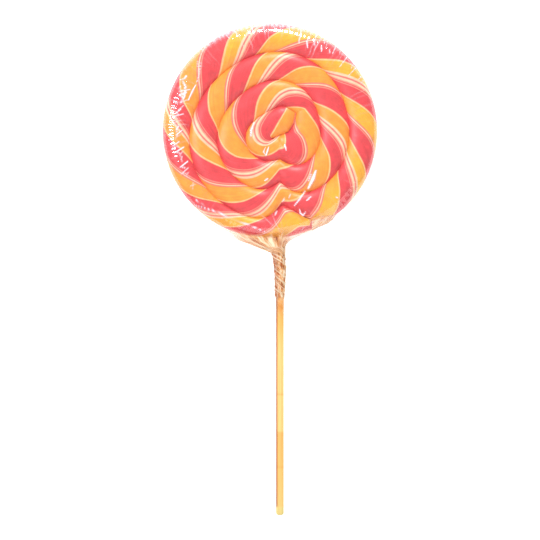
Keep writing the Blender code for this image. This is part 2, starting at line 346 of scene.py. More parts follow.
# One full twist of the rope, from the sharp edge of the wide orange stripe on.
STRIPES = (
    (0.0, "honey"), (0.024, "red"), (0.19, "salmon"), (0.202, "red"), (0.216, "salmon"),
    (0.236, "cream"), (0.268, "pink"), (0.292, "cream"), (0.325, "orange"), (0.482, "honey"),
    (0.506, "red"), (0.738, "salmon"), (0.752, "red"), (0.766, "cream"), (0.782, "pink"),
    (0.8, "orange"),
)
STRIPE_SOFTNESS = 0.01

# A quarter of the way round, where the rope's crown is, the stripes stand as HALF_TWIST_ANGLES says.
CROWN_AROUND = 0.25

# Painted light: the wide stripes turn lighter and yellower from the first of these radii to the second,
# where light falls on the rim, except on the left.
LIT_RIM_RADII = (42.0 * MM, 52.0 * MM)
LIT_RIM_X = (-34.0 * MM, -22.0 * MM)

# The sugar's fine patterns: how far the stripes wander, and over what length; how many streaks one twist
# has across and along it; and the sizes of the cloudy patches and of the grain.
WANDER = 0.03
WANDER_SIZE = 22.2222 * MM
STREAKS = (44.0, 3.0, 1.0)
CLOUD_SIZE = 4.16667 * MM
SUGAR_GRAIN = 1.11111 * MM


def stripe_ramp(tree, phase, look, wide):
    """The stripes of one full twist, the wide ones in a colour of their own."""
    colours = {name: getattr(look, name) for _, name in STRIPES}
    colours["orange"] = wide
    stripes = add(tree, "ShaderNodeValToRGB", {"Fac": (phase, "Value")})
    ramp = stripes.color_ramp
    ramp.elements[0].color = colours[STRIPES[0][1]]
    ramp.elements[1].color = colours[STRIPES[-1][1]]
    for (_, before), (start, name) in zip(STRIPES, STRIPES[1:]):
        ramp.elements.new(start - STRIPE_SOFTNESS).color = colours[before]
        ramp.elements.new(start).color = colours[name]
    return stripes


def painted_rim_light(tree, place):
    """Where the rim is painted lighter: from 0 in the middle and on the left to 1 at the rest of the rim."""
    flat = add(
        tree, "ShaderNodeVectorMath", {0: (place, "Object"), 1: (1.0, 1.0, 0.0)}, operation="MULTIPLY"
    )
    away = add(tree, "ShaderNodeVectorMath", {0: (flat, "Vector")}, operation="LENGTH")
    outermost = add(
        tree, "ShaderNodeMapRange",
        {"Value": (away, "Value"), "From Min": LIT_RIM_RADII[0], "From Max": LIT_RIM_RADII[1]},
    )
    across = add(tree, "ShaderNodeSeparateXYZ", {"Vector": (place, "Object")})
    past_shaded_left = add(
        tree, "ShaderNodeMapRange",
        {"Value": (across, "X"), "From Min": LIT_RIM_X[0], "From Max": LIT_RIM_X[1]},
    )
    return add(
        tree, "ShaderNodeMath", {0: (outermost, "Result"), 1: (past_shaded_left, "Result")}, operation="MULTIPLY"
    )


def pulled_sugar(look):
    """Boiled sugar, pulled satin-smooth and twisted: striped like a barber's pole, with fine streaks."""
    material, tree = fresh_material("pulled sugar, twisted")
    place = add(tree, "ShaderNodeUVMap", uv_map="rope")
    parts = add(tree, "ShaderNodeSeparateXYZ", {"Vector": (place, "UV")})
    phase = add(tree, "ShaderNodeMath", {0: (parts, "X"), 1: (parts, "Y")}, operation="ADD")
    spot = add(tree, "ShaderNodeTexCoord")
    wander = add(
        tree, "ShaderNodeTexNoise", {"Vector": (spot, "Object"), "Scale": 1.0 / WANDER_SIZE, "Detail": 1.0}
    )
    shift = add(
        tree, "ShaderNodeMath", {0: (wander, "Fac"), 1: WANDER, 2: (phase, "Value")},
        operation="MULTIPLY_ADD",
    )
    along = add(tree, "ShaderNodeMath", {0: (shift, "Value")}, operation="FRACT")
    inner = stripe_ramp(tree, along, look, look.orange)
    # Painted light: the rim's wide stripes are lighter and yellower.
    outer = stripe_ramp(tree, along, look, look.lit_rim_orange)
    at_rim = painted_rim_light(tree, spot)
    stripes = add(
        tree, "ShaderNodeMixRGB",
        {"Fac": (at_rim, "Value"), "Color1": (inner, "Color"), "Color2": (outer, "Color")},
    )
    # The streaks run with the stripes: many across one twist, few along it.
    streak_place = add(tree, "ShaderNodeCombineXYZ", {"X": (shift, "Value"), "Y": (parts, "Y"), "Z": 0.0})
    streak_scale = add(tree, "ShaderNodeMapping", {"Vector": (streak_place, "Vector"), "Scale": STREAKS})
    streaks = add(
        tree, "ShaderNodeTexNoise", {"Vector": (streak_scale, "Vector"), "Scale": 1.0, "Detail": 3.0}
    )
    bright = add(
        tree, "ShaderNodeMapRange",
        {"Value": (streaks, "Fac"), "From Min": 0.3, "From Max": 0.7, "To Min": 0.88, "To Max": 1.08},
    )
    streaked = add(
        tree, "ShaderNodeVectorMath", {0: (stripes, "Color"), 1: (bright, "Result")}, operation="MULTIPLY"
    )
    # Cloudy patches a few millimetres wide, where the sugar is less evenly pulled.
    clouds = add(
        tree, "ShaderNodeTexNoise",
        {"Vector": (spot, "Object"), "Scale": 1.0 / CLOUD_SIZE, "Detail": 4.0, "Roughness": 0.6},
    )
    cloudy = add(
        tree, "ShaderNodeMapRange",
        {"Value": (clouds, "Fac"), "From Min": 0.3, "From Max": 0.7, "To Min": 0.86, "To Max": 1.1},
    )
    toned = add(
        tree, "ShaderNodeVectorMath", {0: (streaked, "Vector"), 1: (cloudy, "Result")}, operation="MULTIPLY"
    )
    grain = add(
        tree, "ShaderNodeTexNoise", {"Vector": (spot, "Object"), "Scale": 1.0 / SUGAR_GRAIN, "Detail": 2.0}
    )
    bump = add(tree, "ShaderNodeBump", {"Height": (grain, "Fac"), "Strength": 0.12, "Distance": 0.0003})
    shader = add(
        tree, "ShaderNodeBsdfPrincipled",
        {
            "Base Color": (toned, "Vector"), "Roughness": 0.38, "IOR": 1.5, "Normal": (bump, "Normal"),
            "Subsurface Weight": 0.05, "Subsurface Radius": (1.0, 0.4, 0.2), "Subsurface Scale": 0.002,
        },
    )
    add(tree, "ShaderNodeOutputMaterial", {"Surface": (shader, "BSDF")})
    return material


def rope_section(angle, around, look):
    """A point of the rope's skin.

    Around runs from the inner edge over the front to the outer edge, and back below.
    """
    inner = inner_edge(angle)
    outer = outer_edge(angle)
    outermost = smooth(angle, RIM_ANGLE - RIM_LEAD, RIM_ANGLE)
    across = outer - inner
    width = across.length
    if width > LEAST_WIDTH:
        press = look.overlap * across / width
        inner = inner - press * smooth(angle, *CREASE_CLOSES)
        outer = outer + press * (1.0 - outermost)
    turn = math.tau * around
    share = 0.5 - 0.5 * math.cos(turn)
    at_rim = outermost * smooth(share, *ROUND_SIDE)
    fullness = min(width / ROPE_WIDTH, 1.0) ** 0.5
    point = inner.lerp(outer, share)
    lift = abs(math.sin(turn))
    if around <= 0.5:
        power = look.crown + (1.0 - look.crown) * at_rim
        point.z = AXIS_HEIGHT + (look.height - AXIS_HEIGHT) * fullness * lift**power
    else:
        power = look.sole + (RIM_SOLE - look.sole) * at_rim
        point.z = AXIS_HEIGHT - (AXIS_HEIGHT - look.lift) * fullness * lift**power
    return point


class LollipopMakeCandy(bpy.types.Operator):
    """Winds the striped rope of sugar into the disc"""

    bl_idname = "lollipop.candy"
    bl_label = "Sugar rope"
    stations: IntProperty(name="Stations", description="Steps along the rope", default=900, min=100)
    sides: IntProperty(name="Sides", description="Steps round the rope", default=44, min=12)

    def execute(self, context):
        look = context.scene.lollipop_candy
        bm = bmesh.new()
        bmesh.ops.create_grid(bm, x_segments=self.stations, y_segments=self.sides, size=0.5)
        uv = bm.loops.layers.uv.new("rope")
        for face in bm.faces:
            for loop in face.loops:
                angle = CUT_ANGLE + (loop.vert.co.x + 0.5) * (TAIL_ANGLE - CUT_ANGLE)
                # The stripes run straight along the tail, and the orange one spreads over its tip.
                twists = twists_at(min(angle, UNTWISTED_FROM))
                tip = smooth(angle, TAIL_ANGLE - TIP_LENGTH, TAIL_ANGLE - TAIL_FACE)
                around = (loop.vert.co.y + 0.5) * (1.0 - TIP_SPREAD * tip)
                loop[uv].uv = (twists, around - CROWN_AROUND)
        for vert in bm.verts:
            angle = CUT_ANGLE + (vert.co.x + 0.5) * (TAIL_ANGLE - CUT_ANGLE)
            vert.co = rope_section(angle, vert.co.y + 0.5, look)
        bmesh.ops.remove_doubles(bm, verts=bm.verts, dist=MERGE)
        ends = [edge for edge in bm.edges if edge.is_boundary]
        bmesh.ops.holes_fill(bm, edges=ends, sides=0)
        for face in bm.faces:
            if len(face.verts) > 4:
                for loop in face.loops:
                    loop[uv].uv = (twists_at(CUT_ANGLE), 0.0)
        bmesh.ops.recalc_face_normals(bm, faces=bm.faces)
        piece = finish_piece("sugar_rope", bm, pulled_sugar(look), "candy")
        piece.data.set_sharp_from_angle(angle=SHARP_ANGLE)
        return {"FINISHED"}


# Faint marks down the stick: the place along Y and the tone that the wood is multiplied by from there.
STICK_MARKS = (
    (-94.0 * MM, "#F2DCBC"), (-108.0 * MM, "#F8E6CC"), (-124.0 * MM, "#FFFFFF"), (-146.6 * MM, "#FFFFFF"),
    (-147.2 * MM, "#F2DCC4"), (-147.9 * MM, "#FFFFFF"), (-168.0 * MM, "#FFFFFF"), (-168.8 * MM, "#F6E6D4"),
    (-187.4 * MM, "#F6E6D4"), (-188.0 * MM, "#EBD0B4"), (-188.7 * MM, "#F8EADA"),
)

# The wood turns duller from the first place to the second, and is painted darker across the last two to the
# left, as shade where less light falls.
TIP_FROM_Y = STICK_END_Y + 5.5 * MM
TIP_FULL_Y = STICK_END_Y + 4.0 * MM
SHADED_SIDE_X = (STICK_X - STICK_RADIUS, STICK_X - 0.3 * STICK_RADIUS)

# The grain of the wood: its width across the stick and its length along it.
GRAIN_WIDTH = 0.555556 * MM
GRAIN_LENGTH = 33.3333 * MM


def birch_dowel(look):
    """Turned birch, sanded: pale straight grain, painted shade down one side, faint marks and a dull tip."""
    material, tree = fresh_material("birch dowel, sanded")
    place = add(tree, "ShaderNodeTexCoord")
    parts = add(tree, "ShaderNodeSeparateXYZ", {"Vector": (place, "Object")})
    grain_scale = (1.0 / GRAIN_WIDTH, 1.0 / GRAIN_LENGTH, 1.0 / GRAIN_WIDTH)
    stretched = add(tree, "ShaderNodeMapping", {"Vector": (place, "Object"), "Scale": grain_scale})
    grain = add(tree, "ShaderNodeTexNoise", {"Vector": (stretched, "Vector"), "Scale": 1.0, "Detail": 3.0})
    # Painted shade down the dowel's left side.
    side = add(
        tree, "ShaderNodeMapRange",
        {"Value": (parts, "X"), "From Min": SHADED_SIDE_X[0], "From Max": SHADED_SIDE_X[1]},
        interpolation_type="SMOOTHSTEP",
    )
    side_shaded = add(
        tree, "ShaderNodeMixRGB", {"Fac": (side, "Result"), "Color1": look.wood_painted_shade, "Color2": look.wood}
    )
    # Down the stick: a faint ring, a slightly darker stretch, a second ring and the tip.
    down = add(
        tree, "ShaderNodeMapRange",
        {"Value": (parts, "Y"), "From Min": STICK_TOP_Y, "From Max": STICK_END_Y},
    )
    marks = add(tree, "ShaderNodeValToRGB", {"Fac": (down, "Result")})
    ramp = marks.color_ramp
    ramp.elements[0].color = (1.0, 1.0, 1.0, 1.0)
    ramp.elements[1].color = linear("#F4F4F0")
    for mark_y, tone_hex in STICK_MARKS:
        spot = (STICK_TOP_Y - mark_y) / (STICK_TOP_Y - STICK_END_Y)
        ramp.elements.new(spot).color = linear(tone_hex)
    marked = add(
        tree, "ShaderNodeVectorMath", {0: (side_shaded, "Color"), 1: (marks, "Color")}, operation="MULTIPLY"
    )
    at_tip = add(
        tree, "ShaderNodeMapRange",
        {"Value": (parts, "Y"), "From Min": TIP_FROM_Y, "From Max": TIP_FULL_Y},
    )
    tipped = add(
        tree, "ShaderNodeMixRGB",
        {"Fac": (at_tip, "Result"), "Color1": (marked, "Vector"), "Color2": look.tip},
    )
    tone = add(
        tree, "ShaderNodeMapRange",
        {"Value": (grain, "Fac"), "From Min": 0.3, "From Max": 0.7, "To Min": 0.86, "To Max": 1.06},
    )
    colour = add(
        tree, "ShaderNodeVectorMath", {0: (tipped, "Color"), 1: (tone, "Result")}, operation="MULTIPLY"
    )
    bump = add(tree, "ShaderNodeBump", {"Height": (grain, "Fac"), "Strength": 0.2, "Distance": 0.1 * MM})
    shader = add(
        tree, "ShaderNodeBsdfPrincipled",
        {
            "Base Color": (colour, "Vector"), "Roughness": 0.6, "Specular IOR Level": 0.2,
            "Normal": (bump, "Normal"),
        },
    )
    add(tree, "ShaderNodeOutputMaterial", {"Surface": (shader, "BSDF")})
    return material


class LollipopMakeStick(bpy.types.Operator):
    """Turns the wooden stick"""

    bl_idname = "lollipop.stick"
    bl_label = "Stick"
    sides: IntProperty(name="Sides", description="Steps round the stick", default=48, min=8)
    lengths: IntProperty(name="Lengths", description="Steps along the stick", default=40, min=1)

    def execute(self, context):
        look = context.scene.lollipop_stick
        bm = bmesh.new()
        made = bmesh.ops.create_cone(
            bm, cap_ends=True, segments=self.sides, radius1=STICK_RADIUS, radius2=STICK_RADIUS,
            depth=STICK_TOP_Y - STICK_END_Y,
        )
        middle = Vector((STICK_X, 0.5 * (STICK_TOP_Y + STICK_END_Y), AXIS_HEIGHT))
        for vert in made["verts"]:
            vert.co = Vector((vert.co.x, vert.co.z, -vert.co.y)) + middle
        bm.normal_update()
        ring = [edge for edge in bm.edges if all(vert.co.y < STICK_END_Y + MERGE for vert in edge.verts)]
        bmesh.ops.bevel(
            bm, geom=ring, offset=look.end_round, segments=6, profile=0.5, affect="EDGES", material=-1
        )
        # The cuts across the stick stop above its rounded end.
        for step in range(1, self.lengths):
            cut_y = STICK_TOP_Y + (STICK_END_Y + 2.0 * MM - STICK_TOP_Y) * step / self.lengths
            bmesh.ops.bisect_plane(
                bm, geom=[*bm.verts, *bm.edges, *bm.faces], plane_co=(0.0, cut_y, 0.0),
                plane_no=(0.0, 1.0, 0.0),
            )
        bmesh.ops.recalc_face_normals(bm, faces=bm.faces)
        piece = finish_piece("dowel", bm, birch_dowel(look), "stick")
        piece.data.set_sharp_from_angle(angle=SHARP_ANGLE)
        return {"FINISHED"}


# The share of light that clear film reflects face on, from both of its faces, and how much more edge on.
FILM_SHINE = 0.08
FILM_EDGE_SHINE = 0.5
RIPPLE_SIZE = 3.84615 * MM


def clear_film(look):
    """Clear cellophane: nearly unseen face on, with sharp reflections, and painted white highlights along
    its creases and pleats.
    """
    material, tree = fresh_material("cellophane, creased")
    place = add(tree, "ShaderNodeTexCoord")
    ripple = add(
        tree, "ShaderNodeTexNoise", {"Vector": (place, "Object"), "Scale": 1.0 / RIPPLE_SIZE, "Detail": 2.0}
    )
    bump = add(tree, "ShaderNodeBump", {"Height": (ripple, "Fac"), "Strength": 0.18, "Distance": 0.0004})
    facing = add(tree, "ShaderNodeLayerWeight", {"Blend": 0.5, "Normal": (bump, "Normal")})
    steep = add(tree, "ShaderNodeMath", {0: (facing, "Facing"), 1: 5.0}, operation="POWER")
    edge = add(
        tree, "ShaderNodeMath", {0: (steep, "Value"), 1: FILM_EDGE_SHINE, 2: FILM_SHINE},
        operation="MULTIPLY_ADD",
    )
    through = add(tree, "ShaderNodeBsdfTransparent")
    shine = add(
        tree, "ShaderNodeBsdfAnisotropic",
        {"Color": (1.0, 1.0, 1.0, 1.0), "Roughness": 0.05, "Normal": (bump, "Normal")},
    )
    mixed = add(tree, "ShaderNodeMixShader", {0: (edge, "Value"), 1: (through, "BSDF"), 2: (shine, "BSDF")})
    # Painted highlights: the creases and pleats are painted white, so they glint from every side.
    painted = add(
        tree, "ShaderNodeBsdfPrincipled", {"Base Color": look.painted_glint_colour, "Roughness": 0.3, "IOR": 1.5}
    )
    creased = add(tree, "ShaderNodeAttribute", attribute_name="creased")
    glinted = add(
        tree, "ShaderNodeMixShader", {0: (creased, "Fac"), 1: (mixed, "Shader"), 2: (painted, "BSDF")}
    )
    add(tree, "ShaderNodeOutputMaterial", {"Surface": (glinted, "Shader")})
    return material


# The film lies on the front at this height, rounds the rim and runs back below.
FILM_REST = CANDY_HIGH.z - 0.25 * MM
FILM_RADIUS = DISC_RADIUS + 0.25 * MM
FILM_EDGE_RADIUS = 8.5 * MM
FILM_FLAT_RADIUS = FILM_RADIUS - FILM_EDGE_RADIUS
FRONT_SHARE = 0.7
BACK_SHARE = 0.9
PLEATS_FROM = 43.0 * MM
ZIGZAG = 0.35
ZIGZAG_STEP = 4.0 * MM

# Where the pleats are deepest: the direction from the disc's middle and how far to both sides, in degrees.
DEEP_PLEATS = ((172.0, 32.0), (95.0, 34.0), (62.0, 20.0))
SLIGHT_PLEATS = 0.25

# Waves of the film about 17 and 4 mm long, in cells to the metre, and their heights.
LOW_WAVES = 60.0
FINE_WAVES = 240.0
LOW_HEIGHT = 0.12 * MM
FINE_HEIGHT = 0.05 * MM

# How far the film under the back lies above the table, and how near two of its points are one.
UNDER_Z = 0.02 * MM
WRAP_MERGE = 0.002 * MM

# The hard creases over the front, raised a little and painted white as highlights, in millimetres: strength,
# half width, and the places each runs through.
CREASES = (
    (0.7, 0.45, (-46.5, 30.6), (-48.0, 28.8), (-50.2, 28.2)),
    (1.0, 0.55, (-48.6, 27.4), (-47.3, 25.0), (-47.1, 21.8), (-48.0, 18.4), (-49.5, 15.4)),
    (0.4, 0.4, (-49.8, 25.6), (-50.6, 22.4), (-49.6, 19.6)),
    (0.5, 0.4, (-38.5, 38.2), (-39.0, 35.0), (-39.7, 30.0), (-41.5, 25.2)),
    (1.0, 0.6, (-41.6, 25.0), (-43.3, 21.8), (-45.5, 16.8)),
    (0.4, 0.4, (-40.6, 39.0), (-40.3, 35.4)),
    (0.9, 0.7, (-9.0, 4.5), (-10.4, 0.2), (-10.7, -3.4)),
    (0.9, 0.6, (-0.7, -9.3), (-2.2, -14.0)),
    (0.6, 0.5, (-2.2, -14.0), (-3.6, -12.0), (-2.6, -9.6)),
    (0.8, 0.6, (8.4, -7.9), (9.0, -11.2)),
    (0.8, 0.6, (-2.8, -28.0), (-1.1, -26.9)),
    (1.0, 1.15, (25.6, -22.4), (24.0, -27.0), (21.3, -32.4)),
    (0.6, 0.5, (23.2, -23.8), (21.2, -28.6)),
    (1.0, 0.55, (19.5, -34.0), (16.4, -38.6), (13.7, -41.9)),
    (0.9, 0.5, (22.9, -37.0), (20.4, -39.2)),
    (0.8, 0.5, (16.6, -43.9), (16.9, -46.2), (18.5, -47.4), (19.8, -45.6)),
    (0.5, 0.45, (11.6, -35.2), (10.4, -38.0)),
    (0.6, 0.45, (8.2, -37.7), (7.0, -39.8)),
    (0.7, 0.55, (3.9, -45.0), (2.7, -47.4)),
    (0.6, 0.45, (-42.1, -41.6), (-31.7, -44.7), (-20.1, -49.5), (-7.9, -54.4), (-3.0, -56.5)),
    (0.6, 0.45, (-41.5, -38.6), (-38.0, -41.2), (-34.2, -44.9)),
    (0.8, 0.6, (36.9, -36.9), (37.5, -37.7)),
    (0.2, 0.4, (-5.5, -46.5), (-1.6, -50.0), (3.6, -55.2)),
    (0.2, 0.4, (1.1, -46.5), (3.2, -52.0), (7.3, -58.9)),
    (0.25, 0.4, (18.9, -53.8), (15.3, -59.3)),
    (0.7, 0.45, (16.1, 51.3), (16.3, 48.4)),
    (1.0, 0.55, (20.4, 50.4), (21.0, 46.0)),
    (0.5, 0.45, (24.8, 49.6), (25.2, 46.6)),
    (0.9, 0.5, (28.5, 47.6), (28.9, 43.6)),
    (0.5, 0.45, (33.0, 45.5), (33.6, 42.6)),
    (0.4, 0.4, (-44.6, -31.0), (-41.4, -30.0)),
    (0.4, 0.4, (-42.8, -28.6), (-43.2, -33.0)),
)
CREASE_REACH = 2.5
CREASE_GLINT = 1.4
CREASE_POINT = 0.4

# Small zigzags of painted highlight where the pleats turn over the left rim, with directions in degrees and
# radii in millimetres.
TICKS = 17
TICK_FROM = 153.0
TICK_STEP = 3.4
TICK_RADIUS = 50.2
TICK_WIDTH = 0.42

# Short radial creases of painted highlight where the pleats run over the top and right of the rim.
RIM_TICKS = 34
RIM_TICK_FROM = 27.0
RIM_TICK_STEP = 2.6
RIM_TICK_RADIUS = 55.0
RIM_TICK_END = 59.3


def crease_runs():
    """The straight runs of all creases: both ends in millimetres, half width at both and strength."""
    runs = []
    for strength, width, *places in CREASES:
        if len(places) == 2:
            (from_x, from_y), (to_x, to_y) = places
            places.insert(1, (0.5 * (from_x + to_x), 0.5 * (from_y + to_y)))
        widths = [CREASE_POINT * width, *[width] * (len(places) - 2), CREASE_POINT * width]
        for index in range(len(places) - 1):
            runs.append((*places[index], *places[index + 1], widths[index], widths[index + 1], strength))
    # The sines only make the small creases uneven in place, length and strength.
    for step in range(TICKS):
        angle = TICK_FROM + TICK_STEP * step + 0.7 * math.sin(4.7 * step)
        inner = (TICK_RADIUS + 1.1 * math.sin(2.1 * step)) * heading(angle)
        outer = (TICK_RADIUS + 3.0 + 1.5 * math.sin(1.3 * step + 1.0)) * heading(angle + 3.2 - 0.12 * step)
        hook = (TICK_RADIUS + 1.6) * heading(angle + 3.9 - 0.06 * step)
        strength = 0.62 + 0.38 * math.sin(1.9 * step)
        runs.append((inner.x, inner.y, outer.x, outer.y, TICK_WIDTH, TICK_WIDTH, strength))
        runs.append((outer.x, outer.y, hook.x, hook.y, TICK_WIDTH, TICK_WIDTH, 0.6 * strength))
    for step in range(RIM_TICKS):
        angle = RIM_TICK_FROM + RIM_TICK_STEP * step + 0.8 * math.sin(3.1 * step)
        inner = (RIM_TICK_RADIUS + 2.2 * math.sin(1.7 * step + 0.5)) * heading(angle)
        outer = RIM_TICK_END * heading(angle + 1.2)
        strength = 0.38 + 0.32 * math.sin(2.3 * step)
        runs.append((inner.x, inner.y, outer.x, outer.y, CREASE_POINT * TICK_WIDTH, TICK_WIDTH, strength))
    return runs


def near_runs(x, y, runs):
    """How close a place is to the nearest run, from 0 to the run's strength."""
    x, y = x / MM, y / MM
    most = 0.0
    for from_x, from_y, to_x, to_y, from_width, to_width, strength in runs:
        reach = CREASE_REACH * max(from_width, to_width)
        if not (min(from_x, to_x) - reach < x < max(from_x, to_x) + reach):
            continue
        if not (min(from_y, to_y) - reach < y < max(from_y, to_y) + reach):
            continue
        run_x, run_y = to_x - from_x, to_y - from_y
        share = ((x - from_x) * run_x + (y - from_y) * run_y) / (run_x**2 + run_y**2)
        share = min(max(share, 0.0), 1.0)
        width = from_width + share * (to_width - from_width)
        away = math.hypot(x - from_x - share * run_x, y - from_y - share * run_y)
        most = max(most, strength * math.exp(-2.0 * (away / width) ** 2))
    return most


def pleat_strength(direction):
    """The pleats are deep on the left and along the top, and slight elsewhere."""
    strength = SLIGHT_PLEATS
    for middle, spread in DEEP_PLEATS:
        away = (direction - middle + 180.0) % 360.0 - 180.0
        strength = max(strength, math.exp(-((away / spread) ** 2)))
    return strength


# Painted highlights: the pleats' crests are painted white, and along the top the outermost film is painted
# white as glare where the light falls on its many pleats.
PLEAT_GLINT = 0.4
RIM_GLARE = 0.75
RIM_GLARE_MIDDLE = 96.0
RIM_GLARE_SPREAD = 40.0


def wrap_point(turn, across, runs, look):
    """A point of the film over the disc and how much painted highlight it has there.

    Across runs from the front's middle over the rim to the back's middle.
    """
    out = heading(360.0 * turn)
    if across < FRONT_SHARE:
        distance = FILM_FLAT_RADIUS * across / FRONT_SHARE
    elif across < BACK_SHARE:
        distance = FILM_FLAT_RADIUS
    else:
        distance = FILM_FLAT_RADIUS * (1.0 - across) / (1.0 - BACK_SHARE)
    wobble = noise.noise(Vector((9.0 * out.x, 9.0 * out.y, 2.0)))
    zigzag = abs((distance / ZIGZAG_STEP) % 2.0 - 1.0)
    pleat = abs(math.sin(math.pi * (look.pleats * turn + ZIGZAG * zigzag) + 2.0 * wobble))
    strength = pleat_strength(360.0 * turn)
    lift = look.pleat_depth * (1.0 - pleat) * (0.7 + 0.8 * wobble) * strength
    uneven = noise.noise(Vector((22.0 * out.x, 22.0 * out.y, 60.0 * distance)))
    # Painted highlight on the pleats' crests.
    pleat_glint = PLEAT_GLINT * (1.0 - pleat) ** 3 * strength * max(0.2 + 2.0 * uneven, 0.0)
    if across < FRONT_SHARE:
        x, y = distance * out.x, distance * out.y
        fade = smooth(distance, PLEATS_FROM, FILM_FLAT_RADIUS)
        low = noise.noise(Vector((LOW_WAVES * x, LOW_WAVES * y, 0.5)))
        ripple = noise.noise(Vector((FINE_WAVES * x, FINE_WAVES * y, 5.0)))
        crease = near_runs(x, y, runs)
        height = FILM_REST + LOW_HEIGHT * low + FINE_HEIGHT * ripple + 0.4 * lift * fade
        height += look.crease_height * crease * (1.0 - 0.4 * fade)
        # Painted highlight: white along the creases and on the pleats' crests.
        return Vector((x, y, height)), min(max(CREASE_GLINT * crease, pleat_glint * fade), 1.0)
    if across < BACK_SHARE:
        arc = math.pi * (across - FRONT_SHARE) / (BACK_SHARE - FRONT_SHARE)
        rise = math.cos(arc)
        reach = FILM_FLAT_RADIUS + FILM_EDGE_RADIUS * math.sin(arc)
        height = AXIS_HEIGHT + (FILM_REST - AXIS_HEIGHT if rise > 0.0 else AXIS_HEIGHT - UNDER_Z) * rise
        away = Vector((out.x * math.sin(arc), out.y * math.sin(arc), 0.4 * max(rise, 0.0)))
        from_top = (360.0 * turn - RIM_GLARE_MIDDLE + 180.0) % 360.0 - 180.0
        glare = RIM_GLARE * math.exp(-((from_top / RIM_GLARE_SPREAD) ** 2)) * smooth(math.sin(arc), 0.5, 1.0)
        crease = near_runs(reach * out.x, reach * out.y, runs) if rise > 0.0 else 0.0
        # Painted highlight and painted light: white from the creases, the pleats' crests and the glare along
        # the top.
        white = max(CREASE_GLINT * crease, pleat_glint, glare * (1.3 - pleat))
        return Vector((reach * out.x, reach * out.y, height)) + lift * away, min(white, 1.0)
    return Vector((distance * out.x, distance * out.y, UNDER_Z)), 0.0


class LollipopMakeWrap(bpy.types.Operator):
    """Draws the clear film over the disc"""

    bl_idname = "lollipop.wrap"
    bl_label = "Film on the disc"
    turns: IntProperty(name="Round", description="Steps round the disc", default=720, min=60)
    rings: IntProperty(name="Rings", description="Steps from front to back", default=134, min=12)

    def execute(self, context):
        look = context.scene.lollipop_film
        bm = bmesh.new()
        bmesh.ops.create_grid(bm, x_segments=self.turns, y_segments=self.rings, size=0.5)
        creased = bm.verts.layers.float.new("creased")
        runs = crease_runs()
        for vert in bm.verts:
            vert.co, vert[creased] = wrap_point(vert.co.x + 0.5, vert.co.y + 0.5, runs, look)
        bmesh.ops.remove_doubles(bm, verts=bm.verts, dist=WRAP_MERGE)
        bmesh.ops.recalc_face_normals(bm, faces=bm.faces)
        piece = finish_piece("film_wrap", bm, clear_film(look))
        return {"FINISHED"}


# The folds of the gathered film: how many streaks it has round and along it, the width and length of the
# folds on the neck, and how many lines of painted highlight wind round and along it.
GATHER = (44.0, 5.0, 1.0)
FOLD_WIDTH = 1.0 * MM
FOLD_LENGTH = 3.84615 * MM
WINDING = (8.0, 2.0, 1.0)


